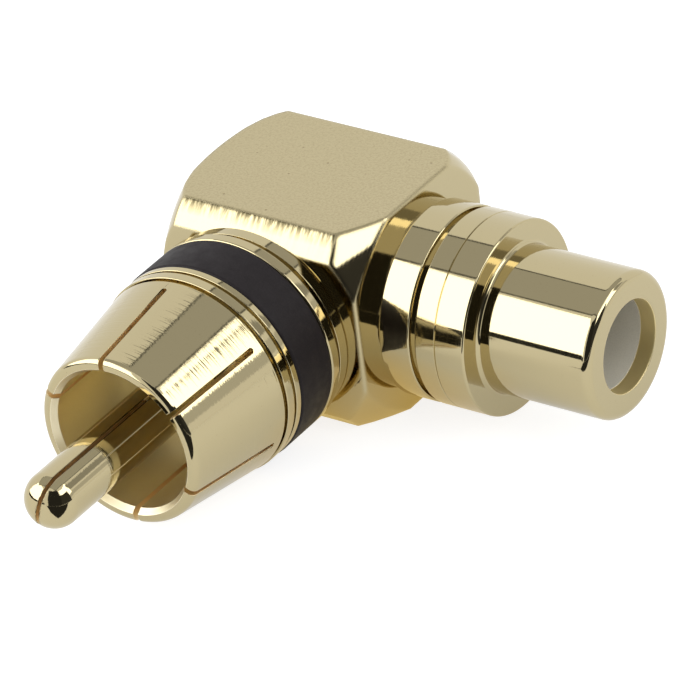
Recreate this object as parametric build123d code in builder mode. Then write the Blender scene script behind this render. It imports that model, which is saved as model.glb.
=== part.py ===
from build123d import *
from math import cos, hypot, radians, sin
import os

# Sizes in millimetres. The plug and the jack lie on two axes that cross at right angles.
# The plug points to -Y, the jack to +X, and the block's bottom face lies at Z = 0.
# Places along an axis are measured from the crossing.

# Block
half_height = 6.15
plug_face = 6.2
jack_face = 6.7
side_reach = 6.3
back_reach = 6.25
bevel_length = 1.2
bevel_drop = 1.05
plug_face_radius = 7.25
plug_sweep_length = 3.9
plug_sweep = 20.0
jack_face_radius = 7.07
jack_sweep_length = 1.5
jack_sweep = 2.6
side_face_radius = 6.0
side_sweep_length = 1.55
side_sweep = 3.5
bore_end = 4.5
stem_wall = 1.0
seat_step = 0.3
chamber_reach = 3.5

# Clearances
press_gap = 0.02
slide_gap = 0.05
solder_gap = 0.03

# How far a cut runs past the face that it opens
cut_past = 1.0

# Plug collar behind the black ring
flange_inset = 0.05
flange_width = 0.7
collar_width = 0.75
collar_step = 0.25
collar_groove_width = 0.4
collar_groove_depth = 0.35
collar_rim = 0.15

# Black marker ring
ring_width = 2.95
ring_wall = 1.05
ring_rim = 0.2

# Plug shell
shoulder_step = 0.05
shoulder_width = 0.42
band_groove_width = 0.2
band_groove_depth = 0.25
band_width = 0.6
skirt_step = 0.08
skirt_length = 6.95
skirt_taper = 0.97
skirt_wall = 1.77
lip_round = 0.42
mouth_flare = 0.25
mouth_bevel = 0.35
cavity_depth = 7.4
leaf_slots = 6
slot_width = 0.3
slot_length = 6.35
slot_turn = 35.5
neck_wall = 1.7
web_thickness = 0.8
web_clearance = 0.7

# Centre pin
pin_radius = 1.6
pin_proud = 7.28
pin_tip_round = 1.45
pin_slit_width = 0.2
pin_slit_length = 9.5
pin_slit_turn = 74.0
pin_tail_radius = 1.0
pin_tail_reach = 1.3

# Jack barrel
jack_neck_radius = 5.3
jack_neck_length = 0.75
ring_one_width = 1.95
jack_ring_radius = 5.5
ring_rim_round = 0.12
groove_width = 0.35
groove_radius = 5.1
ring_two_width = 3.15
fine_line_place = 1.25
fine_line_width = 0.1
fine_line_depth = 0.08
barrel_radius = 4.15
barrel_wall = 0.85
barrel_length = 7.05
barrel_root_round = 0.25
barrel_lip_round = 0.5
mouth_hole_radius = 2.62
mouth_edge_bevel = 0.08
mouth_wall_depth = 0.95

# Jack insulator and contact
lining_step = 0.04
lining_depth = 2.5
entry_step = 0.13
entry_length = 0.5
contact_gap = 0.02
contact_wall = 0.48
contact_entry_bevel = 0.25
contact_base = 3.2
contact_base_length = 0.8
contact_slot_width = 0.35
contact_slot_length = 6.0
contact_tail_radius = 0.6
contact_tail_reach = 0.9

os.makedirs("parts", exist_ok=True)

# Places that follow from the sizes
crossing = Vector(0, 0, half_height)
plug_axis = Axis(crossing, (0, -1, 0))
jack_axis = Axis(crossing, (1, 0, 0))
# Half sections hold the radius along local X and the place along the axis on local Y
plug_section = Plane(origin=crossing, x_dir=(0, 0, 1), z_dir=(1, 0, 0))
jack_section = Plane(origin=crossing, x_dir=(0, 0, 1), z_dir=(0, 1, 0))
jack_level = Plane(origin=crossing, x_dir=(0, 1, 0), z_dir=(0, 0, -1))
# Cross sections look back along each axis, with local Y up
plug_cross = Plane(origin=crossing, x_dir=(1, 0, 0), z_dir=(0, -1, 0))
jack_cross = Plane(origin=crossing, x_dir=(0, 1, 0), z_dir=(1, 0, 0))

plug_edge_reach = plug_face - plug_sweep_length
jack_edge_reach = jack_face - jack_sweep_length
side_edge_reach = side_reach - side_sweep_length

# The round pieces on the plug's side stand a little inside the block's height
flange_radius = half_height - flange_inset
collar_radius = flange_radius - collar_step
collar_groove_radius = collar_radius - collar_groove_depth
ring_radius = flange_radius
neck_radius = ring_radius - ring_wall - slide_gap
shoulder_radius = ring_radius - shoulder_step
skirt_base_radius = shoulder_radius - skirt_step
skirt_bore_radius = skirt_base_radius - skirt_wall
mouth_radius = skirt_bore_radius + mouth_flare
lip_radius = skirt_base_radius - skirt_taper
shell_bore_radius = neck_radius - neck_wall
web_hole_radius = pin_radius + web_clearance

# Radii inside the jack
jack_bore_radius = barrel_radius - barrel_wall
lining_radius = mouth_hole_radius - lining_step
contact_bore_radius = pin_radius + contact_gap
contact_radius = contact_bore_radius + contact_wall
entry_radius = contact_bore_radius + entry_step

# Stepped holes in the block: the stems stand on the first step and the bushes on the second
plug_hole_radius = shell_bore_radius + stem_wall
plug_chamber_radius = shell_bore_radius - seat_step
jack_hole_radius = jack_bore_radius + stem_wall
jack_chamber_radius = jack_bore_radius - seat_step

collar_groove_start = plug_face + collar_width
flange_start = collar_groove_start + collar_groove_width
ring_start = flange_start + flange_width
ring_end = ring_start + ring_width
groove_a = ring_end + shoulder_width
band_a = groove_a + band_groove_width
groove_b = band_a + band_width
skirt_start = groove_b + band_groove_width
mouth_end = skirt_start + skirt_length
cavity_floor = mouth_end - cavity_depth
web_back = cavity_floor - web_thickness
pin_end = mouth_end + pin_proud

ring_one_start = jack_face + jack_neck_length
ring_one_end = ring_one_start + ring_one_width
ring_two_start = ring_one_end + groove_width
ring_two_end = ring_two_start + ring_two_width
jack_end = ring_two_end + barrel_length
lining_start = jack_end - mouth_wall_depth
lining_floor = lining_start - lining_depth
contact_end = lining_floor - entry_length

# The block's corners lie this far from each axis
jack_full_radius = hypot(back_reach, half_height - bevel_drop)
plug_full_radius = hypot(jack_face, half_height)

# Block: a square bar, turned round about both axes, with two stepped bores that meet inside
with BuildPart() as elbow_block:
    # The bar's profile across the jack's axis, with its four long bevels
    with BuildSketch(Plane.YZ.offset(-side_reach)):
        with BuildLine():
            Polyline(
                (-plug_face, bevel_drop),
                (-plug_face + bevel_length, 0),
                (back_reach - bevel_length, 0),
                (back_reach, bevel_drop),
                (back_reach, 2 * half_height - bevel_drop),
                (back_reach - bevel_length, 2 * half_height),
                (-plug_face + bevel_length, 2 * half_height),
                (-plug_face, 2 * half_height - bevel_drop),
                close=True,
            )
        make_face()
    extrude(amount=side_reach + jack_face)
    # Both ends of the bar are turned about the jack's axis
    with BuildSketch(jack_section):
        with BuildLine():
            Polyline((jack_face_radius, jack_face), (0, jack_face), (0, -side_reach))
            Line((0, -side_reach), (side_face_radius, -side_reach))
            RadiusArc(
                (side_face_radius, -side_reach), (jack_full_radius, -side_edge_reach), -side_sweep
            )
            Line((jack_full_radius, -side_edge_reach), (jack_full_radius, jack_edge_reach))
            RadiusArc(
                (jack_full_radius, jack_edge_reach), (jack_face_radius, jack_face), -jack_sweep
            )
        make_face()
    revolve(axis=jack_axis, mode=Mode.INTERSECT)
    # The plug's end is turned about the plug's axis, nearly as a straight cone
    with BuildSketch(plug_section):
        with BuildLine():
            Polyline(
                (plug_face_radius, plug_face),
                (0, plug_face),
                (0, -back_reach),
                (plug_full_radius, -back_reach),
                (plug_full_radius, plug_edge_reach),
            )
            RadiusArc(
                (plug_full_radius, plug_edge_reach), (plug_face_radius, plug_face), -plug_sweep
            )
        make_face()
    revolve(axis=plug_axis, mode=Mode.INTERSECT)
    # Two stepped bores that meet in one chamber
    with BuildSketch(plug_section):
        with BuildLine():
            Polyline(
                (0, plug_face + cut_past),
                (plug_hole_radius, plug_face + cut_past),
                (plug_hole_radius, bore_end),
                (plug_chamber_radius, bore_end),
                (plug_chamber_radius, -chamber_reach),
                (0, -chamber_reach),
                close=True,
            )
        make_face()
    revolve(axis=plug_axis, mode=Mode.SUBTRACT)
    with BuildSketch(jack_section):
        with BuildLine():
            Polyline(
                (0, jack_face + cut_past),
                (jack_hole_radius, jack_face + cut_past),
                (jack_hole_radius, bore_end),
                (jack_chamber_radius, bore_end),
                (jack_chamber_radius, -chamber_reach),
                (0, -chamber_reach),
                close=True,
            )
        make_face()
    revolve(axis=jack_axis, mode=Mode.SUBTRACT)
elbow_block.part.label = "elbow_block"
export_step(elbow_block.part, "parts/elbow_block.step")

# Plug collar: a plain band against the block, a groove, and the flange behind the black ring
with BuildPart() as plug_collar:
    with BuildSketch(plug_section):
        with BuildLine():
            Polyline(
                (neck_radius + press_gap, plug_face),
                (collar_radius - collar_rim, plug_face),
                (collar_radius, plug_face + collar_rim),
                (collar_radius, collar_groove_start),
                (collar_groove_radius, collar_groove_start),
                (collar_groove_radius, flange_start),
                (flange_radius - collar_rim, flange_start),
                (flange_radius, flange_start + collar_rim),
                (flange_radius, ring_start - collar_rim),
                (flange_radius - collar_rim, ring_start),
                (neck_radius + press_gap, ring_start),
                close=True,
            )
        make_face()
    revolve(axis=plug_axis)
plug_collar.part.label = "plug_collar"
export_step(plug_collar.part, "parts/plug_collar.step")

# Marker ring: a plain black band between the collar and the shell's shoulder
with BuildPart() as marker_ring:
    with BuildSketch(plug_section):
        with Locations((neck_radius + slide_gap, ring_start)):
            Rectangle(
                ring_radius - neck_radius - slide_gap, ring_width, align=(Align.MIN, Align.MIN)
            )
    revolve(axis=plug_axis)
    fillet(marker_ring.edges().filter_by(GeomType.CIRCLE).sort_by(SortBy.RADIUS)[-2:], ring_rim)
marker_ring.part.label = "marker_ring"
export_step(marker_ring.part, "parts/marker_ring.step")

# Plug shell: stem in the block, neck under the rings, grooved shoulder and tapered skirt
lip_back = mouth_end - lip_round
with BuildPart() as plug_shell:
    with BuildSketch(plug_section):
        with BuildLine():
            Polyline(
                (lip_radius, lip_back),
                (skirt_base_radius, skirt_start),
                (skirt_base_radius - band_groove_depth, skirt_start),
                (skirt_base_radius - band_groove_depth, groove_b),
                (shoulder_radius, groove_b),
                (shoulder_radius, band_a),
                (shoulder_radius - band_groove_depth, band_a),
                (shoulder_radius - band_groove_depth, groove_a),
                (shoulder_radius, groove_a),
                (shoulder_radius, ring_end),
                (neck_radius, ring_end),
                (neck_radius, plug_face),
                (plug_hole_radius - press_gap, plug_face),
                (plug_hole_radius - press_gap, bore_end),
                (shell_bore_radius, bore_end),
                (shell_bore_radius, web_back),
                (web_hole_radius, web_back),
                (web_hole_radius, cavity_floor),
                (skirt_bore_radius, cavity_floor),
                (skirt_bore_radius, mouth_end - mouth_bevel),
                (mouth_radius, mouth_end),
                (lip_radius - lip_round, mouth_end),
            )
            RadiusArc((lip_radius - lip_round, mouth_end), (lip_radius, lip_back), lip_round)
        make_face()
    revolve(axis=plug_axis)
    # Saw slots part the skirt into springy leaves, each slot with a round inner end
    slot_inner = mouth_end - slot_length
    for turn in range(leaf_slots):
        angle = slot_turn + turn * 360 / leaf_slots
        outward = (cos(radians(angle)), 0, sin(radians(angle)))
        with BuildSketch(Plane(origin=crossing, x_dir=(0, -1, 0), z_dir=outward)):
            with Locations((slot_inner + slot_width / 2 + slot_length / 2, 0)):
                SlotOverall(slot_length + slot_width, slot_width)
        extrude(amount=skirt_base_radius + cut_past, mode=Mode.SUBTRACT)
plug_shell.part.label = "plug_shell"
export_step(plug_shell.part, "parts/plug_shell.step")

# Plug insulator: a bush in the shell's bore that holds the pin's tail
with BuildPart() as plug_insulator:
    with BuildSketch(plug_cross.offset(bore_end)):
        Circle(shell_bore_radius - press_gap)
        Circle(pin_tail_radius + press_gap, mode=Mode.SUBTRACT)
    extrude(amount=web_back - bore_end)
plug_insulator.part.label = "plug_insulator"
export_step(plug_insulator.part, "parts/plug_insulator.step")

# Centre pin: round-tipped, split from the tip, with a thinner tail to the crossing
with BuildPart() as center_pin:
    with BuildSketch(plug_section):
        with BuildLine():
            Polyline(
                (pin_radius, pin_end - pin_tip_round),
                (pin_radius, web_back),
                (pin_tail_radius, web_back),
                (pin_tail_radius, -pin_tail_reach),
                (0, -pin_tail_reach),
                (0, pin_end),
                (pin_radius - pin_tip_round, pin_end),
            )
            RadiusArc(
                (pin_radius - pin_tip_round, pin_end),
                (pin_radius, pin_end - pin_tip_round),
                pin_tip_round,
            )
        make_face()
    revolve(axis=plug_axis)
    # The saw slit, from the tip inwards
    across = (sin(radians(pin_slit_turn)), 0, -cos(radians(pin_slit_turn)))
    with BuildSketch(Plane(origin=crossing, x_dir=(0, -1, 0), z_dir=across)):
        with Locations((pin_end - pin_slit_length / 2 + cut_past / 2, 0)):
            Rectangle(pin_slit_length + cut_past, 2 * pin_radius + cut_past)
    extrude(amount=pin_slit_width / 2, both=True, mode=Mode.SUBTRACT)
    # The cross hole that takes the jack contact's tail
    with BuildSketch(jack_cross):
        Circle(contact_tail_radius + solder_gap)
    extrude(amount=pin_tail_radius + cut_past, both=True, mode=Mode.SUBTRACT)
center_pin.part.label = "center_pin"
export_step(center_pin.part, "parts/center_pin.step")

# Jack barrel: stem in the block, neck, two turned rings, and the barrel that a plug grips
with BuildPart() as jack_barrel:
    line_start = ring_two_start + fine_line_place
    line_radius = jack_ring_radius - fine_line_depth
    rim = ring_rim_round
    with BuildSketch(jack_section):
        with BuildLine():
            Line(
                (barrel_radius, jack_end - barrel_lip_round),
                (barrel_radius, ring_two_end + barrel_root_round),
            )
            RadiusArc(
                (barrel_radius, ring_two_end + barrel_root_round),
                (barrel_radius + barrel_root_round, ring_two_end),
                -barrel_root_round,
            )
            Polyline(
                (barrel_radius + barrel_root_round, ring_two_end),
                (jack_ring_radius - rim, ring_two_end),
                (jack_ring_radius, ring_two_end - rim),
                (jack_ring_radius, line_start + fine_line_width),
                (line_radius, line_start + fine_line_width),
                (line_radius, line_start),
                (jack_ring_radius, line_start),
                (jack_ring_radius, ring_two_start + rim),
                (jack_ring_radius - rim, ring_two_start),
                (groove_radius, ring_two_start),
                (groove_radius, ring_one_end),
                (jack_ring_radius - rim, ring_one_end),
                (jack_ring_radius, ring_one_end - rim),
                (jack_ring_radius, ring_one_start + rim),
                (jack_ring_radius - rim, ring_one_start),
                (jack_neck_radius, ring_one_start),
                (jack_neck_radius, jack_face),
                (jack_hole_radius - press_gap, jack_face),
                (jack_hole_radius - press_gap, bore_end),
                (jack_bore_radius, bore_end),
                (jack_bore_radius, lining_start),
                (mouth_hole_radius, lining_start),
                (mouth_hole_radius, jack_end - mouth_edge_bevel),
                (mouth_hole_radius + mouth_edge_bevel, jack_end),
                (barrel_radius - barrel_lip_round, jack_end),
            )
            RadiusArc(
                (barrel_radius - barrel_lip_round, jack_end),
                (barrel_radius, jack_end - barrel_lip_round),
                barrel_lip_round,
            )
        make_face()
    revolve(axis=jack_axis)
jack_barrel.part.label = "jack_barrel"
export_step(jack_barrel.part, "parts/jack_barrel.step")

# Jack insulator: a lining behind the mouth, a pin entry in its floor, then the contact's bore
with BuildPart() as jack_insulator:
    with BuildSketch(jack_section):
        with BuildLine():
            Polyline(
                (jack_bore_radius - press_gap, bore_end),
                (jack_bore_radius - press_gap, lining_start),
                (lining_radius, lining_start),
                (lining_radius, lining_floor),
                (entry_radius, lining_floor),
                (entry_radius, contact_end),
                (contact_radius + slide_gap, contact_end),
                (contact_radius + slide_gap, bore_end),
                close=True,
            )
        make_face()
    revolve(axis=jack_axis)
jack_insulator.part.label = "jack_insulator"
export_step(jack_insulator.part, "parts/jack_insulator.step")

# Jack contact: a slotted tube for a mating pin, with a solid base and a tail in the pin's hole
with BuildPart() as jack_contact:
    with BuildSketch(jack_section):
        with BuildLine():
            Polyline(
                (0, -contact_tail_reach),
                (contact_tail_radius, -contact_tail_reach),
                (contact_tail_radius, contact_base),
                (contact_radius, contact_base),
                (contact_radius, contact_end),
                (contact_bore_radius + contact_entry_bevel, contact_end),
                (contact_bore_radius, contact_end - contact_entry_bevel),
                (contact_bore_radius, contact_base + contact_base_length),
                (0, contact_base + contact_base_length),
                close=True,
            )
        make_face()
    revolve(axis=jack_axis)
    # Two saw cuts at right angles give four leaves
    for cut_plane in (jack_section, jack_level):
        with BuildSketch(cut_plane):
            with Locations((0, contact_end - contact_slot_length / 2)):
                Rectangle(2 * contact_radius + cut_past, contact_slot_length)
        extrude(amount=contact_slot_width / 2, both=True, mode=Mode.SUBTRACT)
jack_contact.part.label = "jack_contact"
export_step(jack_contact.part, "parts/jack_contact.step")
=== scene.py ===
# %% [markdown]
# # A right-angle adapter with a slotted plug and a round jack
# The object is a small brass connector with pale gold plating. A square block carries a plug on
# one side and a jack on the side next to it. This lesson dresses the imported model: it loads the
# fixed frame, sets the camera, lights a small studio, makes each visible piece with ordinary
# modelling tools, and gives every surface a finish made of nodes.
#
# The frame comes first, because every piece takes its place from it.

# %% Load the frame
import math
import bpy
from mathutils import Matrix, Vector


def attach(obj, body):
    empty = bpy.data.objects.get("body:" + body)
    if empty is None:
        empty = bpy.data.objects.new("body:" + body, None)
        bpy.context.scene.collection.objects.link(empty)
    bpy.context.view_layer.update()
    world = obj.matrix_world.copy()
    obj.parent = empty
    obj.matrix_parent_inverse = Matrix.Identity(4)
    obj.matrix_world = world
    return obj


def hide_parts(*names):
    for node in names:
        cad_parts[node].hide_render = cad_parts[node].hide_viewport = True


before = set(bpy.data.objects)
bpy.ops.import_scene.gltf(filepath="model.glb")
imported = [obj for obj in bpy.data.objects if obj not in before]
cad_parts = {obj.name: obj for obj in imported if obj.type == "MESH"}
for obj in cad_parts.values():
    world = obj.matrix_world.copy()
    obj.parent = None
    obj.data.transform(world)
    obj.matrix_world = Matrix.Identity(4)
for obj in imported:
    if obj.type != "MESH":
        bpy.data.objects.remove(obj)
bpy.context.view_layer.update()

# %% [markdown]
# ## Places shared by all pieces
# Two axes cross inside the block: the plug's runs towards -Y and the jack's towards +X. The sizes
# of so small an object are easiest to read in millimetres, so they are written that way, and one
# factor turns them into metres. Sizes that more than one piece needs are named once here: places
# along an axis are counted from the crossing. The last is the distance at which two points count
# as one.

# %% The crossing, the two axes and the shared sizes
MM = 0.001
HALF_HEIGHT = 6.15
CROSSING = Vector((0.0, 0.0, HALF_HEIGHT))
PLUG = Vector((0.0, -1.0, 0.0))
JACK = Vector((1.0, 0.0, 0.0))

PLUG_FACE = 6.2
JACK_FACE = 6.7
STEM_END = 4.5
COLLAR_END = 8.05
RING_END = 11.0
WEB_BACK = 11.17
STEM_RADIUS = 4.28
STEM_BORE = 4.3
BUSH_BORE = 3.0
LINER_BORE = 3.3
TINY = 0.001
print("The axes cross at", tuple(CROSSING), "mm")

# %% [markdown]
# ## Camera
# The photograph looks down on the corner between plug and jack from in front. A long lens far away
# keeps the perspective mild. The place and the turn of the camera are written as they were
# measured, with the three axes of the camera as the columns of its turn.

# %% Set the camera
CAMERA_RIGHT = Vector((0.82684193, 0.55254815, -0.10499033))
CAMERA_UP = Vector((-0.22024587, 0.48985822, 0.84352278))
CAMERA_BACK = Vector((0.51751733, -0.67433631, 0.52673177))
CAMERA_PLACE = (CROSSING + Vector((172.0617, -222.5994, 168.7728))) * MM
FIELD_OF_VIEW = 0.117458

camera_data = bpy.data.cameras.new("camera")
camera = bpy.data.objects.new("camera", camera_data)
bpy.context.scene.collection.objects.link(camera)
turn = Matrix((CAMERA_RIGHT, CAMERA_UP, CAMERA_BACK)).transposed()
camera.matrix_world = Matrix.Translation(CAMERA_PLACE) @ turn.to_4x4()
camera_data.sensor_fit = "HORIZONTAL"
camera_data.angle = FIELD_OF_VIEW
camera_data.clip_start = 0.01
bpy.context.scene.camera = camera
print("Camera at", tuple(round(c, 4) for c in CAMERA_PLACE))

# %% [markdown]
# ## Studio
# Polished metal shows its surroundings more than its own colour, so the studio is most of the
# look. The real one had a white tent with a grey fold and a grey hem, a grey ceiling panel over
# the object, a light panel at the left front and another at the right, and darkness in between.
# Here the tent is a plain white world. The rest is curved cards, cut from a tall cylinder of faces
# by their direction from the object, which is the quickest way to put a card exactly where a
# reflection needs it.

# %% Helpers for one selected object at a time
def leave_edit():
    if bpy.context.mode != "OBJECT":
        bpy.ops.object.mode_set(mode="OBJECT")


def clear_selection():
    leave_edit()
    bpy.ops.object.select_all(action="DESELECT")


def pick(piece):
    clear_selection()
    piece.select_set(True)
    bpy.context.view_layer.objects.active = piece


def settle(piece):
    """Puts the piece's place and turn into its mesh."""
    pick(piece)
    bpy.ops.object.transform_apply(location=True, rotation=True, scale=True)


def choose_points(piece, wanted):
    """Enters edit mode with just the points selected whose place is wanted."""
    pick(piece)
    bpy.ops.object.mode_set(mode="EDIT")
    bpy.ops.mesh.select_mode(type="VERT")
    bpy.ops.mesh.select_all(action="DESELECT")
    leave_edit()
    for vertex in piece.data.vertices:
        vertex.select = wanted(vertex.co)
    bpy.ops.object.mode_set(mode="EDIT")


# %% Helpers that add one node each
def math_node(tree, operation, first, second=None, clamp=False):
    """A Math node fed by sockets or plain numbers."""
    node = tree.nodes.new("ShaderNodeMath")
    node.operation = operation
    node.use_clamp = clamp
    for place, value in enumerate((first, second)):
        if value is None:
            continue
        if isinstance(value, (int, float)):
            node.inputs[place].default_value = value
        else:
            tree.links.new(value, node.inputs[place])
    return node.outputs[0]


def vector_node(tree, operation, first, second=None):
    """A Vector Math node. It gives a number where the operation does, and a vector elsewhere."""
    node = tree.nodes.new("ShaderNodeVectorMath")
    node.operation = operation
    tree.links.new(first, node.inputs[0])
    if second is not None:
        tree.links.new(second, node.inputs[1])
    return node.outputs["Value" if operation in ("DOT_PRODUCT", "LENGTH") else "Vector"]


def span(tree, value, low, high, to_low=0.0, to_high=1.0):
    """Maps a value from one span to another and holds it there."""
    node = tree.nodes.new("ShaderNodeMapRange")
    tree.links.new(value, node.inputs["Value"])
    node.inputs["From Min"].default_value = low
    node.inputs["From Max"].default_value = high
    node.inputs["To Min"].default_value = to_low
    node.inputs["To Max"].default_value = to_high
    return node.outputs["Result"]


def blend(tree, share, first, second):
    """Goes from one colour to another as the share goes from 0 to 1."""
    node = tree.nodes.new("ShaderNodeMix")
    node.data_type = "RGBA"
    tree.links.new(share, node.inputs[0])
    node.inputs[6].default_value = first
    node.inputs[7].default_value = second
    return node.outputs[2]


# %% The white world
WHITE = (1.0, 1.0, 1.0, 1.0)

world = bpy.data.worlds.new("white_tent")
bpy.context.scene.world = world
world.use_nodes = True
world.node_tree.nodes["Background"].inputs["Color"].default_value = WHITE
world.node_tree.nodes["Background"].inputs["Strength"].default_value = 1.0


# %% Light up a card
def card_material(name, level):
    material = bpy.data.materials.new(name)
    material.use_nodes = True
    nodes = material.node_tree.nodes
    nodes.clear()
    glow = nodes.new("ShaderNodeEmission")
    glow.inputs["Color"].default_value = WHITE
    glow.inputs["Strength"].default_value = level
    output = nodes.new("ShaderNodeOutputMaterial")
    material.node_tree.links.new(glow.outputs["Emission"], output.inputs["Surface"])
    return material


def light_up(card, name, level):
    """The camera sees no card. One darker than the tent is for reflections alone."""
    card.name = name
    settle(card)
    card.data.materials.append(card_material(name, level))
    card.visible_camera = False
    card.visible_diffuse = level > 1
    card.visible_shadow = False


# %% Curved cards, cut out of a cylinder by compass direction
CARD_DISTANCE = 0.6
CARD_STEPS = 144


def compass(x, y):
    """The direction in degrees: 0 is towards -Y, 90 towards +X, -90 towards -X."""
    return math.degrees(math.atan2(x, -y))


def stand_card(name, start, end, low, high, level):
    """A card from one compass direction to another, between two heights in degrees."""
    bottom = CARD_DISTANCE * math.tan(math.radians(low))
    top = CARD_DISTANCE * math.tan(math.radians(high))
    clear_selection()
    bpy.ops.mesh.primitive_cylinder_add(
        vertices=CARD_STEPS,
        radius=CARD_DISTANCE,
        depth=top - bottom,
        end_fill_type="NOTHING",
        location=(0, 0, HALF_HEIGHT * MM + (top + bottom) / 2),
    )
    card = bpy.context.object
    bpy.ops.object.mode_set(mode="EDIT")
    bpy.ops.mesh.select_mode(type="FACE")
    bpy.ops.mesh.select_all(action="DESELECT")
    leave_edit()
    for face in card.data.polygons:
        face.select = not start <= compass(face.center.x, face.center.y) <= end
    bpy.ops.object.mode_set(mode="EDIT")
    bpy.ops.mesh.delete(type="FACE")
    leave_edit()
    light_up(card, name, level)


# %% Stand the cards round the object
PANEL = 3.3
FOLD = 0.42
HEM = 0.68
DIM = 0.05
DARK = 0.03

# Each has its name, its directions from and to, its heights from and to, and its level.
CARDS = (
    ("left_light_panel", -80, -12, 6, 52, PANEL),
    ("right_light_panel_front", 68, 104, 35, 52, PANEL),
    ("right_light_panel_back", 104, 124, 19, 53, PANEL),
    ("right_light_panel_corner", 124, 136, 46, 53, PANEL),
    ("grey_tent_fold", 124, 142, 24, 46, FOLD),
    ("grey_tent_hem", 104, 142, 8, 19, HEM),
    ("dark_gap_left", -75, -5, -6, 6, DARK),
    ("dark_room_front", 8, 62, -0.5, 57, DARK),
    ("dark_gap_right", 62, 104, -2, 35, DIM),
)
for card in CARDS:
    stand_card(*card)
print("Standing cards:", len(CARDS))


# %% Hang the grey ceiling panel with its dark frame
# Each corner of the outline is given as its slope from straight up.
CEILING = ((-1.0, -0.38), (0.49, -0.38), (0.49, 1.15), (-0.19, 1.15), (-0.19, 0.4), (-1.0, 0.4))
CEILING_MIDDLE = 0.1
CEILING_HEIGHT = 0.5
CEILING_GREY = 0.54
FRAME_HEIGHT = 0.51
FRAME_MARGIN = 0.045
FRAME_GREY = 0.16


def hang_sheet(name, height, margin, level):
    """Hangs the outline at a height in metres, widened by a margin that is a slope too."""
    clear_selection()
    bpy.ops.mesh.primitive_circle_add(
        vertices=len(CEILING),
        radius=height,
        fill_type="NGON",
        location=(0, 0, HALF_HEIGHT * MM + height),
    )
    sheet = bpy.context.object
    for vertex, (x, y) in zip(sheet.data.vertices, CEILING):
        vertex.co.x = (x + math.copysign(margin, x - CEILING_MIDDLE)) * height
        vertex.co.y = (y + math.copysign(margin, y)) * height
    light_up(sheet, name, level)


hang_sheet("grey_ceiling", CEILING_HEIGHT, 0.0, CEILING_GREY)
hang_sheet("grey_ceiling_frame", FRAME_HEIGHT, FRAME_MARGIN, FRAME_GREY)

# %% Lay a dark sheet on the table before the pin, which darkens the nose of the pin
SHEET_PLACE = (0.152, -0.27, 0.0001)
SHEET_SIZE = (0.296, 0.48, 1.0)

clear_selection()
bpy.ops.mesh.primitive_plane_add(size=1.0, location=SHEET_PLACE)
sheet = bpy.context.object
sheet.scale = SHEET_SIZE
light_up(sheet, "dark_sheet_before_the_pin", DARK)
print("Heights of ceiling, frame and dark sheet:", CEILING_HEIGHT, FRAME_HEIGHT, SHEET_PLACE[2])

# %% [markdown]
# ## Floor
# The object rests on a plain white table. The camera's rays meet a steady glow, so the table is
# white however it is lit, and the part of its colour that is lit keeps the soft shadow. Mirrored
# rays meet a weaker glow, because the real table is shaded so near the object, and right below the
# block that glow is tinted gold as painted bounce light, for the colour the brass throws on it.

# %% Lay the floor
FLOOR_SIZE = 6.0
FLOOR_PAINT = (0.4, 0.4, 0.4, 1.0)
GLOW_SEEN = 0.8
GLOW_MIRRORED = 0.48
# Painted bounce light: a golden glow on the table next to the block, which only mirrored rays see.
PAINTED_GOLD_BOUNCE = (1.3, 0.98, 0.38, 1.0)
PAINTED_BOUNCE_FULL = 7 * MM
PAINTED_BOUNCE_END = 14 * MM

clear_selection()
bpy.ops.mesh.primitive_plane_add(size=FLOOR_SIZE, location=(0, 0, 0))
floor = bpy.context.object
floor.name = "floor"
settle(floor)
paper = bpy.data.materials.new("white_table")
paper.use_nodes = True
tree = paper.node_tree
tree.nodes.clear()
lit = tree.nodes.new("ShaderNodeBsdfDiffuse")
lit.inputs["Color"].default_value = FLOOR_PAINT
ray = tree.nodes.new("ShaderNodeLightPath").outputs
mirrored = ray["Is Glossy Ray"]
far = vector_node(tree, "LENGTH", tree.nodes.new("ShaderNodeTexCoord").outputs["Object"])
# The painted bounce light is full near the block and fades out further away.
painted_bounce_share = math_node(tree, "MULTIPLY", span(tree, far, PAINTED_BOUNCE_FULL, PAINTED_BOUNCE_END, 1.0, 0.0), mirrored)
seen = math_node(tree, "MAXIMUM", ray["Is Camera Ray"], mirrored)
seen = math_node(tree, "MAXIMUM", seen, ray["Is Transmission Ray"])
level = span(tree, mirrored, 0.0, 1.0, GLOW_SEEN, GLOW_MIRRORED)
glow = tree.nodes.new("ShaderNodeEmission")
tree.links.new(blend(tree, painted_bounce_share, WHITE, PAINTED_GOLD_BOUNCE), glow.inputs["Color"])
tree.links.new(math_node(tree, "MULTIPLY", level, seen), glow.inputs["Strength"])
both = tree.nodes.new("ShaderNodeAddShader")
tree.links.new(lit.outputs[0], both.inputs[0])
tree.links.new(glow.outputs[0], both.inputs[1])
output = tree.nodes.new("ShaderNodeOutputMaterial")
tree.links.new(both.outputs[0], output.inputs["Surface"])
floor.data.materials.append(paper)
print("The floor glows at", GLOW_SEEN, "for the camera and", GLOW_MIRRORED, "in the metal")

# %% [markdown]
# ## Skins
# Pale gold plating, black plastic and grey plastic cover the object. Under the plating lie three
# kinds of skin. The block was tumbled, so it has a fine grain, pits and stray scratches. Its long
# bevels and the sawn faces show the strokes of the cutter, and near the block's top arris the
# strokes are darkened with painted shade. The round pieces and the swept ends came off a lathe, so
# they carry fine turning lines. Each skin is a node group that measures in millimetres and gives a
# height, a dullness and a shade, so that each material can take as much of them as it needs.

# %% Helpers for skins
TO_MM = (1 / MM, 1 / MM, 1 / MM)


def stretch(tree, vector, scale, turn=(0.0, 0.0, 0.0)):
    node = tree.nodes.new("ShaderNodeMapping")
    tree.links.new(vector, node.inputs["Vector"])
    node.inputs["Scale"].default_value = scale
    node.inputs["Rotation"].default_value = turn
    return node.outputs["Vector"]


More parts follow.
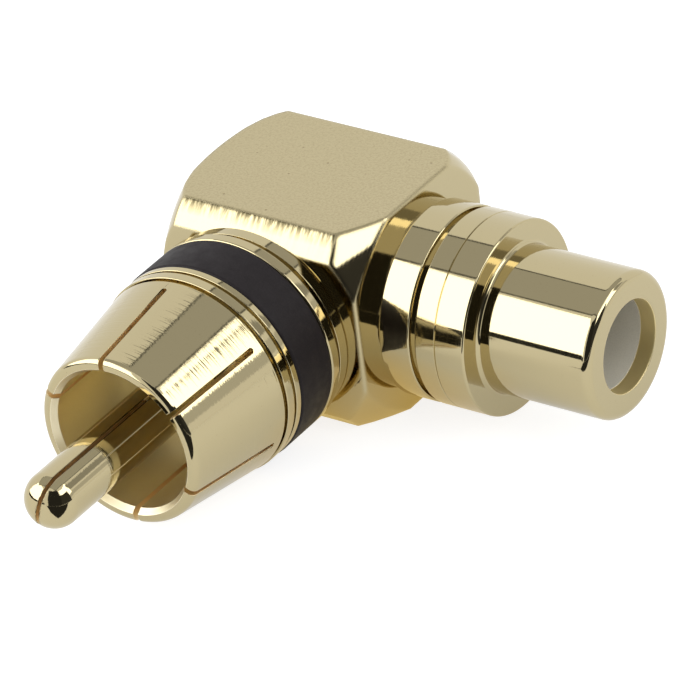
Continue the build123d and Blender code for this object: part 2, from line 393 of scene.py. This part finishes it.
def noise(tree, vector, scale, detail=3.0, roughness=0.6):
    node = tree.nodes.new("ShaderNodeTexNoise")
    tree.links.new(vector, node.inputs["Vector"])
    node.inputs["Scale"].default_value = scale
    node.inputs["Detail"].default_value = detail
    node.inputs["Roughness"].default_value = roughness
    return node.outputs["Fac"]


def weighed(tree, *shares):
    """Adds values up, each times its weight."""
    total = None
    for value, weight in shares:
        part = math_node(tree, "MULTIPLY", value, weight)
        total = part if total is None else math_node(tree, "ADD", total, part)
    return total


def start_skin(name, *settings):
    """A node group that reads a place, and the settings, each with its usual value."""
    skin = bpy.data.node_groups.new(name, "ShaderNodeTree")
    skin.interface.new_socket(name="Vector", in_out="INPUT", socket_type="NodeSocketVector")
    for label, usual in settings:
        socket = skin.interface.new_socket(
            name=label, in_out="INPUT", socket_type="NodeSocketVector"
        )
        socket.default_value = tuple(usual)
    for label in ("Height", "Dull", "Shade"):
        skin.interface.new_socket(name=label, in_out="OUTPUT", socket_type="NodeSocketFloat")
    return skin, skin.nodes.new("NodeGroupInput").outputs


def finish_skin(skin, height, dull, shade):
    leave = skin.nodes.new("NodeGroupOutput")
    for label, value in (("Height", height), ("Dull", dull), ("Shade", shade)):
        skin.links.new(value, leave.inputs[label])
    print("Skin", skin.name, "has", len(skin.nodes), "nodes")


# %% The tumbled skin of the block: grain, pits and stray scratches
# Each set of scratches has the turn of its noise, and the level that makes the noise a scratch.
SCRATCHES = (((0.0, 0.0, 0.7), 0.715), ((0.0, 0.0, -0.5), 0.73), ((0.5, 0.3, 2.1), 0.74))

tumbled, given = start_skin("tumbled_skin")
in_mm = stretch(tumbled, given["Vector"], TO_MM)
grain = noise(tumbled, in_mm, 7.0, 4.0)
waves = noise(tumbled, in_mm, 0.9, 2.0, 0.5)
spots = tumbled.nodes.new("ShaderNodeTexVoronoi")
tumbled.links.new(in_mm, spots.inputs["Vector"])
spots.inputs["Scale"].default_value = 1.35
pit = span(tumbled, spots.outputs["Distance"], 0.05, 0.13, 1.0, 0.0)
chosen = span(tumbled, noise(tumbled, in_mm, 1.1, 0.0, 0.55), 0.56, 0.62)
pit = math_node(tumbled, "MULTIPLY", pit, chosen)
scratch = None
for turn, cut in SCRATCHES:
    line = noise(tumbled, stretch(tumbled, in_mm, (0.35, 9.0, 9.0), turn), 1.0, 1.0, 0.4)
    mark = span(tumbled, line, cut, cut + 0.03)
    scratch = mark if scratch is None else math_node(tumbled, "MAXIMUM", scratch, mark)
scuff = math_node(tumbled, "MULTIPLY", scratch, 0.6)
finish_skin(
    tumbled,
    height=weighed(tumbled, (grain, 0.35), (waves, 0.9), (pit, -1.6), (scratch, -0.25)),
    dull=math_node(tumbled, "ADD", span(tumbled, grain, 0.35, 0.7), scuff, clamp=True),
    shade=math_node(tumbled, "MAXIMUM", pit, span(tumbled, grain, 0.42, 0.68, 0.0, 0.3)),
)

# %% Strokes of the cutter on the long bevels, darkened by a painted shade in a fringe along the top arris
PAINTED_SHADE_FROM = 11.65
PAINTED_SHADE_TO = 12.15

milled, given = start_skin("milled_marks_and_painted_shade")
in_mm = stretch(milled, given["Vector"], TO_MM)
strokes = noise(milled, stretch(milled, in_mm, (4.0, 0.6, 0.6)), 1.0, 3.0, 0.65)
grain = noise(milled, in_mm, 8.0)
apart = milled.nodes.new("ShaderNodeSeparateXYZ")
milled.links.new(in_mm, apart.inputs[0])
# Painted shade: the strokes are darkened between these heights, just under the block's top arris.
painted_shade_near_top = span(milled, apart.outputs["Z"], PAINTED_SHADE_FROM, PAINTED_SHADE_TO)
painted_shade_fringe = math_node(milled, "MULTIPLY", painted_shade_near_top, span(milled, strokes, 0.38, 0.56))
finish_skin(
    milled,
    height=weighed(milled, (strokes, 1.0), (grain, 0.25)),
    dull=span(milled, strokes, 0.4, 0.65),
    shade=math_node(milled, "MULTIPLY", painted_shade_fringe, 0.9),
)

# %% Turning lines on the lathe-made pieces, which run round the axis that is given
turned, given = start_skin("turning_lines", ("Axis", JACK), ("Centre", CROSSING * MM))
arm = vector_node(turned, "SUBTRACT", given["Vector"], given["Centre"])
out = vector_node(turned, "CROSS_PRODUCT", arm, given["Axis"])
pair = turned.nodes.new("ShaderNodeCombineXYZ")
turned.links.new(vector_node(turned, "DOT_PRODUCT", arm, given["Axis"]), pair.inputs["X"])
turned.links.new(vector_node(turned, "LENGTH", out), pair.inputs["Y"])
in_mm = stretch(turned, given["Vector"], TO_MM)
rings = stretch(turned, pair.outputs["Vector"], TO_MM)
fine = noise(turned, rings, 7.0, 2.0)
broad = noise(turned, rings, 2.2, 1.0, 0.5)
smear = noise(turned, in_mm, 1.6, 2.0, 0.5)
grain = noise(turned, in_mm, 9.0)
smeared = span(turned, smear, 0.35, 0.7)
finish_skin(
    turned,
    height=weighed(turned, (fine, 0.6), (broad, 0.5), (grain, 0.1)),
    dull=math_node(turned, "MULTIPLY", span(turned, fine, 0.4, 0.75), smeared),
    shade=span(turned, grain, 0.68, 0.85),
)

# %% [markdown]
# ## Pale gold plating
# Thin gold over nickel and brass is paler than solid gold: its colour is close to champagne. As a
# metal it has no colour of its own beside its reflections, so Metallic is 1 and Base Color tints
# what it mirrors. Small changes in roughness and a shallow bump break the mirror up, as wear does.
# On the block a Bevel node also turns the light softly round each arris, and the long bevels carry
# a painted shade along the top arris. Bored and sawn faces are rougher, and their brighter tints
# are painted bounce light, which stands in for the light that bounces about inside the real part.

# %% The colours of the plating, bright and then where the skin is shaded
PLATE = ((0.54, 0.462, 0.272, 1.0), (0.3, 0.235, 0.12, 1.0))
# The second colour of the milled plating is a painted shade, nearly black.
MILLED_PLATE_AND_PAINTED_SHADE = (PLATE[0], (0.09, 0.075, 0.035, 1.0))
# Painted bounce light: the bored and mouth tints are brighter than the plating, for light that
# bounces about inside the part.
BORE_PLATE_PAINTED_BOUNCE = ((0.9, 0.82, 0.59, 1.0), (0.71, 0.61, 0.4, 1.0))
MOUTH_PLATE_PAINTED_BOUNCE = ((0.84, 0.71, 0.38, 1.0), BORE_PLATE_PAINTED_BOUNCE[0])
# Painted bounce light: the sawn tints are brighter than the plating, for light that reaches into the
# slots.
SAWN_PLATE_PAINTED_BOUNCE = ((0.9, 0.74, 0.46, 1.0), (0.6, 0.45, 0.24, 1.0))


# %% Build the plating for one kind of skin
def raise_marks(tree, height, depth):
    """A bump of so many millimetres on the material's own shader."""
    lift = tree.nodes.new("ShaderNodeBump")
    lift.inputs["Distance"].default_value = depth * MM
    tree.links.new(height, lift.inputs["Height"])
    tree.links.new(lift.outputs["Normal"], tree.nodes["Principled BSDF"].inputs["Normal"])
    return lift


def plating(name, skin, rough, depth, axis=None, colours=PLATE, arris=0.0):
    """Rough gives the roughness where the skin is bright and where it is dull."""
    material = bpy.data.materials.new(name)
    material.use_nodes = True
    tree = material.node_tree
    shader = tree.nodes["Principled BSDF"]
    shader.inputs["Metallic"].default_value = 1.0
    place = tree.nodes.new("ShaderNodeTexCoord")
    marks = tree.nodes.new("ShaderNodeGroup")
    marks.node_tree = skin
    tree.links.new(place.outputs["Object"], marks.inputs["Vector"])
    if axis is not None:
        marks.inputs["Axis"].default_value = tuple(axis)
    tree.links.new(blend(tree, marks.outputs["Shade"], *colours), shader.inputs["Base Color"])
    tree.links.new(span(tree, marks.outputs["Dull"], 0.0, 1.0, *rough), shader.inputs["Roughness"])
    lift = raise_marks(tree, marks.outputs["Height"], depth)
    if arris > 0:
        worn = tree.nodes.new("ShaderNodeBevel")
        worn.samples = 8
        worn.inputs["Radius"].default_value = arris * MM
        tree.links.new(worn.outputs["Normal"], lift.inputs["Normal"])
    return material


# %% The platings of this object
ARRIS = 0.4
LATHE_SHINE = (0.05, 0.12)

block_plating = plating("tumbled_gold_plating", tumbled, (0.13, 0.24), 0.0045, arris=ARRIS)
bevel_plating_and_painted_shade = plating(
    "milled_gold_plating", milled, (0.1, 0.22), 0.0045, colours=MILLED_PLATE_AND_PAINTED_SHADE, arris=ARRIS
)
faced_jack = plating("faced_gold_plating_jack", turned, LATHE_SHINE, 0.002, JACK, arris=ARRIS)
faced_plug = plating("faced_gold_plating_plug", turned, LATHE_SHINE, 0.002, PLUG, arris=ARRIS)
plug_plating = plating("turned_gold_plating_plug", turned, LATHE_SHINE, 0.0042, PLUG)
jack_plating = plating("turned_gold_plating_jack", turned, LATHE_SHINE, 0.0014, JACK)
# The bored platings carry painted bounce light in their bright tints.
plug_bore_painted_bounce = plating("bored_gold_plating_plug", turned, (0.36, 0.52), 0.003, PLUG, BORE_PLATE_PAINTED_BOUNCE)
jack_bore_painted_bounce = plating("bored_gold_plating_jack", turned, (0.5, 0.62), 0.003, JACK, MOUTH_PLATE_PAINTED_BOUNCE)
skirt_plating = plating("turned_gold_plating_skirt", turned, LATHE_SHINE, 0.014, PLUG)
# The sawn plating carries painted bounce light in its bright tints.
sawn_plating_painted_bounce = plating("sawn_gold_plating", milled, (0.35, 0.5), 0.002, colours=SAWN_PLATE_PAINTED_BOUNCE)
made = [material.name for material in bpy.data.materials if "plating" in material.name]
print("Platings:", made)

# %% [markdown]
# ## Plastics
# The marker ring is black plastic with a satin skin. The insulators are a grey plastic with hardly
# any gloss. Both are plain moulded pieces, so small changes in roughness and a fine grain do.


# %% Build a moulded plastic
def moulded(name, colours, rough, shine):
    """Colours are the plain one and the grain's, rough the least and the most roughness."""
    material = bpy.data.materials.new(name)
    material.use_nodes = True
    tree = material.node_tree
    shader = tree.nodes["Principled BSDF"]
    shader.inputs["Specular IOR Level"].default_value = shine
    place = tree.nodes.new("ShaderNodeTexCoord")
    in_mm = stretch(tree, place.outputs["Object"], TO_MM)
    cloud = noise(tree, in_mm, 1.3)
    grain = noise(tree, in_mm, 12.0)
    tree.links.new(blend(tree, span(tree, grain, 0.45, 0.8), *colours), shader.inputs["Base Color"])
    tree.links.new(span(tree, cloud, 0.35, 0.65, *rough), shader.inputs["Roughness"])
    raise_marks(tree, grain, 0.004)
    return material


BLACKS = ((0.010, 0.007, 0.008, 1.0), (0.018, 0.013, 0.014, 1.0))
GREYS = ((0.55, 0.53, 0.46, 1.0), (0.48, 0.46, 0.4, 1.0))

black_plastic = moulded("black_ring_plastic", BLACKS, (0.5, 0.62), 0.22)
grey_plastic = moulded("grey_insulator_plastic", GREYS, (0.45, 0.6), 0.4)
print("Plastics:", black_plastic.name, "and", grey_plastic.name)

# %% [markdown]
# ## Turning a piece
# Blender's tools lose their footing on shapes of a few hundredths of a millimetre when a unit is a
# metre, so each piece is modelled with one unit to the millimetre and scaled down when it is done.
#
# A lathe makes a round piece from a half section. The same is done here: a circle is added at the
# first point of the section and extruded ring by ring, each new ring moved along the axis and
# scaled to its radius. Corners are rounded in the section itself, because a mirror-like surface
# shows every sharp arris. Weighted normals keep the long plain bands free of false shading.


# %% Round the corners of a half section
ARC_STEPS = 5


def rounded(section):
    """Takes corners as (radius, place, rounding) in mm and gives (radius, place) points."""
    points = []
    count = len(section)
    for index, (radius, place, rounding) in enumerate(section):
        corner = Vector((radius, place))
        if rounding == 0:
            points.append(corner)
            continue
        before = Vector(section[index - 1][:2])
        after = Vector(section[(index + 1) % count][:2])
        back = (before - corner).normalized()
        ahead = (after - corner).normalized()
        half = back.angle(ahead) / 2
        run = rounding / math.tan(half)
        centre = corner + (back + ahead).normalized() * rounding / math.sin(half)
        first = corner + back * run - centre
        last = corner + ahead * run - centre
        sweep = first.angle_signed(last)
        for step in range(ARC_STEPS + 1):
            turned_by = Matrix.Rotation(-sweep * step / ARC_STEPS, 2)
            points.append(centre + turned_by @ first)
    return points


# %% Turn a half section about one of the two axes
COLUMNS = 240


def turn_on_lathe(name, section, axis, closed=True, columns=COLUMNS):
    points = rounded(section)
    upright = Vector((0.0, 0.0, 1.0)).rotation_difference(axis).to_euler()
    clear_selection()
    bpy.ops.mesh.primitive_circle_add(
        vertices=columns,
        radius=points[0][0],
        fill_type="NOTHING",
        location=CROSSING + axis * points[0][1],
        rotation=upright,
    )
    piece = bpy.context.object
    piece.name = name
    settle(piece)
    bpy.ops.object.mode_set(mode="EDIT")
    bpy.ops.mesh.select_mode(type="VERT")
    bpy.ops.mesh.select_all(action="SELECT")
    if not closed:
        bpy.ops.mesh.edge_face_add()
        bpy.ops.mesh.select_mode(type="EDGE")
        bpy.ops.mesh.select_all(action="DESELECT")
        bpy.ops.mesh.select_non_manifold()
    runs = list(zip(points, points[1:]))
    if closed:
        runs.append((points[-1], points[0]))
    for (radius, place), (new_radius, new_place) in runs:
        bpy.ops.mesh.extrude_edges_move()
        bpy.ops.transform.translate(value=axis * (new_place - place))
        ratio = new_radius / radius
        scale = [1.0 if abs(part) > 0.5 else ratio for part in axis]
        bpy.ops.transform.resize(value=scale, center_override=CROSSING + axis * new_place)
    if not closed:
        bpy.ops.mesh.edge_face_add()
    bpy.ops.mesh.select_all(action="SELECT")
    bpy.ops.mesh.remove_doubles(threshold=TINY)
    bpy.ops.mesh.normals_make_consistent(inside=False)
    leave_edit()
    print(name, "has", len(piece.data.polygons), "faces")
    return piece


# %% Cut one piece with another, soften its arrises and finish the shading
def apply_modifier(piece, kind, **settings):
    pick(piece)
    modifier = piece.modifiers.new(kind.lower(), kind)
    for key, value in settings.items():
        setattr(modifier, key, value)
    bpy.ops.object.modifier_apply(modifier=modifier.name)


def combine(piece, tool, operation):
    apply_modifier(piece, "BOOLEAN", object=tool, operation=operation, solver="EXACT")
    bpy.data.objects.remove(tool)


def soften_arrises(piece, width, segments, angle):
    """Bevels every edge that is sharper than the angle."""
    apply_modifier(
        piece,
        "BEVEL",
        width=width,
        segments=segments,
        limit_method="ANGLE",
        angle_limit=math.radians(angle),
        use_clamp_overlap=False,
    )


def smooth_finish(piece, angle=35.0):
    pick(piece)
    bpy.ops.object.shade_smooth_by_angle(angle=math.radians(angle))
    apply_modifier(piece, "WEIGHTED_NORMAL", keep_sharp=True, weight=50)


def dress(piece, node, material):
    """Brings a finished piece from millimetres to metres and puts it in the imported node's place."""
    piece.scale = (MM, MM, MM)
    settle(piece)
    piece.data.materials.clear()
    piece.data.materials.append(material)
    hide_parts(node)
    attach(piece, "root")
    print(piece.name, "stands for", node, "with", len(piece.data.polygons), "faces")


def finish_faces(piece, material, wanted):
    """Gives a finish to the wanted faces, which are told by their middle in mm and their normal."""
    piece.data.materials.append(material)
    last = len(piece.data.materials) - 1
    for face in piece.data.polygons:
        if wanted(face.center / MM - CROSSING, face.normal):
            face.material_index = last


def inside(axis, radius, start):
    """True for a face nearer to the axis than the radius, and further out than the start."""
    return lambda arm, normal: arm.dot(axis) > start and arm.cross(axis).length < radius


# %% [markdown]
# ## Block
# The block is a square bar with four long bevels, and its ends are turned on a lathe, so its
# corners are swept round where plug and jack meet it. It is made the same way here: a cube at the
# bar's size, four bisecting cuts for the bevels, then an intersection with a turned shape about
# each axis. A small bevel rounds every arris, as tumbling does. It stays small because a wide one
# folds where three arrises meet. The plating's own soft arris gives the rest of the roundness.

# %% Cut the bar
BLOCK_LOW = Vector((-6.3, -PLUG_FACE, 0.0))
BLOCK_HIGH = Vector((JACK_FACE, 6.25, 2 * HALF_HEIGHT))
BEVEL_LENGTH = 1.2
BEVEL_DROP = 1.05

clear_selection()
bpy.ops.mesh.primitive_cube_add(
    size=1.0,
    location=(BLOCK_LOW + BLOCK_HIGH) / 2,
    scale=BLOCK_HIGH - BLOCK_LOW,
)
block = bpy.context.object
block.name = "block"
settle(block)
bpy.ops.object.mode_set(mode="EDIT")
for side in (-1, 1):
    for level in (-1, 1):
        bpy.ops.mesh.select_all(action="SELECT")
        face_y = BLOCK_HIGH.y if side > 0 else BLOCK_LOW.y
        face_z = BLOCK_HIGH.z if level > 0 else BLOCK_LOW.z
        bpy.ops.mesh.bisect(
            plane_co=(0, face_y - side * BEVEL_LENGTH, face_z),
            plane_no=(0, side * BEVEL_DROP, level * BEVEL_LENGTH),
            use_fill=True,
            clear_outer=True,
        )
leave_edit()
print("The bar has", len(block.data.polygons), "faces")


# %% Sections with arcs and with plain corners
def arc(start, end, radius, steps=4):
    """Points on an arc that bulges away from the axis, in (radius, place) millimetres."""
    first = Vector(start)
    last = Vector(end)
    chord = last - first
    depth = math.sqrt(radius**2 - (chord.length / 2) ** 2)
    middle = (first + last) / 2
    side = Vector((-chord.y, chord.x)).normalized()
    if side.x > 0:
        side = -side
    centre = middle + side * depth
    from_centre = first - centre
    sweep = from_centre.angle_signed(last - centre)
    turns = [Matrix.Rotation(-sweep * step / steps, 2) for step in range(steps + 1)]
    return [tuple(centre + turned_by @ from_centre) for turned_by in turns]


def corners(points):
    """The same points as plain corners of a section, with no rounding."""
    return [(radius, place, 0) for radius, place in points]


# %% Sweep the ends round
# Each arc has its two ends, as (radius, place), and the radius of its own bulge.
BLOCK_COLUMNS = 112
JACK_CORNER = 8.067
PLUG_CORNER = 9.095

outline = arc((6.0, BLOCK_LOW.x), (JACK_CORNER, -4.75), 3.5)
outline += arc((JACK_CORNER, 5.2), (7.07, JACK_FACE), 2.6)
ends = turn_on_lathe("ends", corners(outline), JACK, closed=False, columns=BLOCK_COLUMNS)
combine(block, ends, "INTERSECT")

outline = [(PLUG_CORNER, -6.4)] + arc((PLUG_CORNER, 2.3), (7.25, PLUG_FACE), 20.0)
plug_end = turn_on_lathe("plug_end", corners(outline), PLUG, closed=False, columns=BLOCK_COLUMNS)
combine(block, plug_end, "INTERSECT")
print("The swept block has", len(block.data.polygons), "faces")

# %% Bore the two stepped holes
BORE_END = -3.5
OVERSHOOT = 1.0

for axis, face in ((PLUG, PLUG_FACE), (JACK, JACK_FACE)):
    outline = [
        (BUSH_BORE, BORE_END),
        (BUSH_BORE, STEM_END),
        (STEM_BORE, STEM_END),
        (STEM_BORE, face + OVERSHOOT),
    ]
    bore = turn_on_lathe("bore", corners(outline), axis, closed=False, columns=96)
    combine(block, bore, "DIFFERENCE")

# %% Clean the mesh, round the arrises and finish the block
pick(block)
bpy.ops.object.mode_set(mode="EDIT")
bpy.ops.mesh.select_all(action="SELECT")
bpy.ops.mesh.remove_doubles(threshold=0.04)
bpy.ops.mesh.dissolve_limited(angle_limit=math.radians(0.4))
leave_edit()
soften_arrises(block, width=0.05, segments=3, angle=30)
smooth_finish(block, angle=30.0)
dress(block, "elbow_block", block_plating)

# %% Finish the faces that were turned or milled: both ends, the plug's side and the long bevels
finish_faces(block, faced_jack, lambda arm, normal: abs(normal.x) > 0.2)
finish_faces(block, faced_plug, lambda arm, normal: normal.y < -0.95)
# The long bevels take the milled plating, with its painted shade along the top arris.
finish_faces(
    block,
    bevel_plating_and_painted_shade,
    lambda arm, normal: 0.6 < abs(normal.y) < 0.72 and 0.7 < abs(normal.z) < 0.8,
)

# %% [markdown]
# ## Collar
# A thin collar lies between the block and the black ring: a plain band, a groove and a flange.

# %% Turn the collar
collar = turn_on_lathe(
    "collar",
    [
        (5.02, PLUG_FACE, 0),
        (5.85, PLUG_FACE, 0.12),
        (5.85, 6.95, 0.04),
        (5.5, 6.95, 0),
        (5.5, 7.35, 0),
        (6.1, 7.35, 0.12),
        (6.1, COLLAR_END, 0.12),
        (5.02, COLLAR_END, 0),
    ],
    PLUG,
)
smooth_finish(collar)
dress(collar, "plug_collar", plug_plating)

# %% [markdown]
# ## Black ring
# The marker ring is a plain moulded band with soft rims, as it comes out of its mould.

# %% Turn the black ring
black_ring = turn_on_lathe(
    "black_ring",
    [(5.05, COLLAR_END, 0), (6.1, COLLAR_END, 0.2), (6.1, RING_END, 0.2), (5.05, RING_END, 0)],
    PLUG,
)
smooth_finish(black_ring)
dress(black_ring, "marker_ring", black_plastic)

# %% [markdown]
# ## Skirt
# The plug's shell has a grooved shoulder and a tapered skirt. Six saw slots part the skirt into
# springy leaves. The shell is turned whole. Its section is read from the skirt's rim back along
# the outside, over the two grooves to the stem, and then along the inside, past the web that the
# pin passes through, to the rim again.

# %% Turn the shell
SKIRT_RIM = 19.37
SKIRT_START = 12.42
RIM_INNER = 4.45
CAVITY_FLOOR = 11.97
CAVITY_RADIUS = 4.2
WEB_HOLE = 2.3

shell = turn_on_lathe(
    "skirt_shell",
    [
        (5.0, SKIRT_RIM, 0.42),
        (5.97, SKIRT_START, 0.05),
        (5.72, SKIRT_START, 0),
        (5.72, 12.22, 0),
        (6.05, 12.22, 0.06),
        (6.05, 11.62, 0.06),
        (5.8, 11.62, 0),
        (5.8, 11.42, 0),
        (6.05, 11.42, 0.06),
        (6.05, RING_END, 0.06),
        (5.0, RING_END, 0),
        (5.0, PLUG_FACE, 0),
        (STEM_RADIUS, PLUG_FACE, 0),
        (STEM_RADIUS, STEM_END, 0),
        (LINER_BORE, STEM_END, 0),
        (LINER_BORE, WEB_BACK, 0),
        (WEB_HOLE, WEB_BACK, 0),
        (WEB_HOLE, CAVITY_FLOOR, 0),
        (CAVITY_RADIUS, CAVITY_FLOOR, 0),
        (CAVITY_RADIUS, 19.02, 0),
        (RIM_INNER, SKIRT_RIM, 0.03),
    ],
    PLUG,
    columns=360,
)

# %% [markdown]
# ### The saw slots
# One saw cut is modelled as a slot with a round end: a circle whose outer half is moved past the
# rim, filled, and extruded through the skirt's wall. It is copied round the axis, and the copies
# are cut out of the shell in one go. A fine bevel then breaks the sharp edges that a saw leaves.

# %% Model one saw cut
SLOT_WIDTH = 0.3
SLOT_INNER = 13.02
SLOT_REACH = 7.0
SLOT_TURN = 35.5
SAW_START = 3.6
SAW_DEPTH = 4.0
LEAVES = 6

start = CROSSING + PLUG * (SLOT_INNER + SLOT_WIDTH / 2)
clear_selection()
bpy.ops.mesh.primitive_circle_add(
    vertices=32,
    radius=SLOT_WIDTH / 2,
    fill_type="NOTHING",
    location=start + JACK * SAW_START,
    rotation=(0, math.radians(90), 0),
)
saw_cut = bpy.context.object
settle(saw_cut)
choose_points(saw_cut, lambda point: point.y < start.y + TINY)
bpy.ops.transform.translate(value=PLUG * SLOT_REACH)
bpy.ops.mesh.select_all(action="SELECT")
bpy.ops.mesh.edge_face_add()
bpy.ops.mesh.extrude_region_move(TRANSFORM_OT_translate={"value": JACK * SAW_DEPTH})
bpy.ops.mesh.select_all(action="SELECT")
bpy.ops.mesh.normals_make_consistent(inside=False)
leave_edit()
saw_cut.data.transform(Matrix.Translation(-CROSSING))
print("One saw cut has", len(saw_cut.data.polygons), "faces")

# %% Copy the cut round the axis and saw the skirt
cuts = []
for leaf in range(LEAVES):
    cut = saw_cut.copy()
    cut.data = saw_cut.data.copy()
    bpy.context.scene.collection.objects.link(cut)
    cut.location = CROSSING
    cut.rotation_euler = (0, -math.radians(SLOT_TURN + leaf * 360 / LEAVES), 0)
    settle(cut)
    cuts.append(cut)
bpy.data.objects.remove(saw_cut)
clear_selection()
for cut in cuts:
    cut.select_set(True)
bpy.context.view_layer.objects.active = cuts[0]
bpy.ops.object.join()
combine(shell, bpy.context.object, "DIFFERENCE")
soften_arrises(shell, width=0.03, segments=2, angle=55)
smooth_finish(shell)

# %% Finish the shell: skirt, cavity and sawn faces
BORED_START = 10.0

dress(shell, "plug_shell", plug_plating)
finish_faces(
    shell,
    skirt_plating,
    lambda arm, normal: arm.dot(PLUG) > SKIRT_START - 0.02 and abs(normal.dot(PLUG)) < 0.2,
)
# The cavity takes the bored plating, whose bright tint is painted bounce light.
finish_faces(shell, plug_bore_painted_bounce, inside(PLUG, RIM_INNER + 0.03, BORED_START))
# The slot walls take the sawn plating, whose bright tint is painted bounce light.
finish_faces(
    shell,
    sawn_plating_painted_bounce,
    lambda arm, normal: abs(normal.dot(arm.cross(PLUG).normalized())) > 0.9,
)

# %% [markdown]
# ## Centre pin
# The pin has a round tip and a saw slit that lets it spring. The slit runs back from the tip about
# two thirds of the way to the web, and its sides keep the rougher finish of the saw.

# %% Turn the pin
PIN_RADIUS = 1.6
TAIL_RADIUS = 1.0
TAIL_END = -1.3
PIN_TIP = 26.65
TIP_ROUND = 1.45

outline = [(TAIL_RADIUS, TAIL_END), (TAIL_RADIUS, WEB_BACK), (PIN_RADIUS, WEB_BACK)]
tip = arc((PIN_RADIUS - TIP_ROUND, PIN_TIP), (PIN_RADIUS, PIN_TIP - TIP_ROUND), TIP_ROUND, 16)
outline += reversed(tip)
pin = turn_on_lathe("pin", corners(outline), PLUG, closed=False, columns=192)

# %% Slit the pin
SLIT_WIDTH = 0.2
SLIT_LENGTH = 10.5
SLIT_DEPTH = 4.0
SLIT_MIDDLE = 22.4
SLIT_TURN = math.radians(74.0)

clear_selection()
bpy.ops.mesh.primitive_cube_add(
    size=1.0,
    location=CROSSING + PLUG * SLIT_MIDDLE,
    scale=(SLIT_DEPTH, SLIT_LENGTH, SLIT_WIDTH),
)
slit = bpy.context.object
slit.rotation_euler = (0, -SLIT_TURN, 0)
settle(slit)
combine(pin, slit, "DIFFERENCE")
soften_arrises(pin, width=0.04, segments=2, angle=50)
smooth_finish(pin)
dress(pin, "center_pin", plug_plating)
across = Vector((-math.sin(SLIT_TURN), 0, math.cos(SLIT_TURN)))
# The slit's sides take the sawn plating, whose bright tint is painted bounce light.
finish_faces(
    pin,
    sawn_plating_painted_bounce,
    lambda arm, normal: abs(arm.dot(across)) < SLIT_WIDTH * 0.6 and abs(normal.dot(across)) > 0.95,
)

# %% [markdown]
# ## Jack
# The jack is one turned piece: a neck in the block, two rings with a groove between them, a fine
# line cut round the second ring, and the plain barrel that a plug grips. Its section is read from
# the rim of the barrel back along the outside to the stem, and then along the inside to the mouth.

# %% Turn the jack
MOUTH_END = 19.95
MOUTH_FLOOR = 19.0
MOUTH_RADIUS = 2.62
MOUTH_START = 16.0

jack = turn_on_lathe(
    "jack_body",
    [
        (4.15, MOUTH_END, 0.5),
        (4.15, 12.9, 0.25),
        (5.5, 12.9, 0.12),
        (5.5, 11.1, 0),
        (5.42, 11.05, 0),
        (5.5, 11.0, 0),
        (5.5, 9.75, 0.1),
        (5.1, 9.75, 0),
        (5.1, 9.4, 0),
        (5.5, 9.4, 0.1),
        (5.5, 7.45, 0.12),
        (5.3, 7.45, 0),
        (5.3, JACK_FACE, 0),
        (STEM_RADIUS, JACK_FACE, 0),
        (STEM_RADIUS, STEM_END, 0),
        (LINER_BORE, STEM_END, 0),
        (LINER_BORE, MOUTH_FLOOR, 0),
        (MOUTH_RADIUS, MOUTH_FLOOR, 0),
        (MOUTH_RADIUS, MOUTH_END, 0.08),
    ],
    JACK,
    columns=320,
)
smooth_finish(jack)
dress(jack, "jack_barrel", jack_plating)
# The mouth takes the bored plating, whose bright tint is painted bounce light.
finish_faces(jack, jack_bore_painted_bounce, inside(JACK, MOUTH_RADIUS + 0.04, MOUTH_START))

# %% [markdown]
# ## Inner pieces
# The two insulators and the jack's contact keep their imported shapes, which are right as they are.
# They only get their finishes.

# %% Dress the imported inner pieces
for node, material in (
    ("plug_insulator", grey_plastic),
    ("jack_insulator", grey_plastic),
    ("jack_contact", jack_plating),
):
    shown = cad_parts[node]
    shown.data.materials.clear()
    shown.data.materials.append(material)
    print(node, "keeps its shape and gets", material.name)

# %% [markdown]
# ## Colours
# The view shows colours as they are written.

# %% Set the view and the glossy bounces
bpy.context.scene.cycles.glossy_bounces = 10
bpy.context.scene.view_settings.view_transform = "Standard"
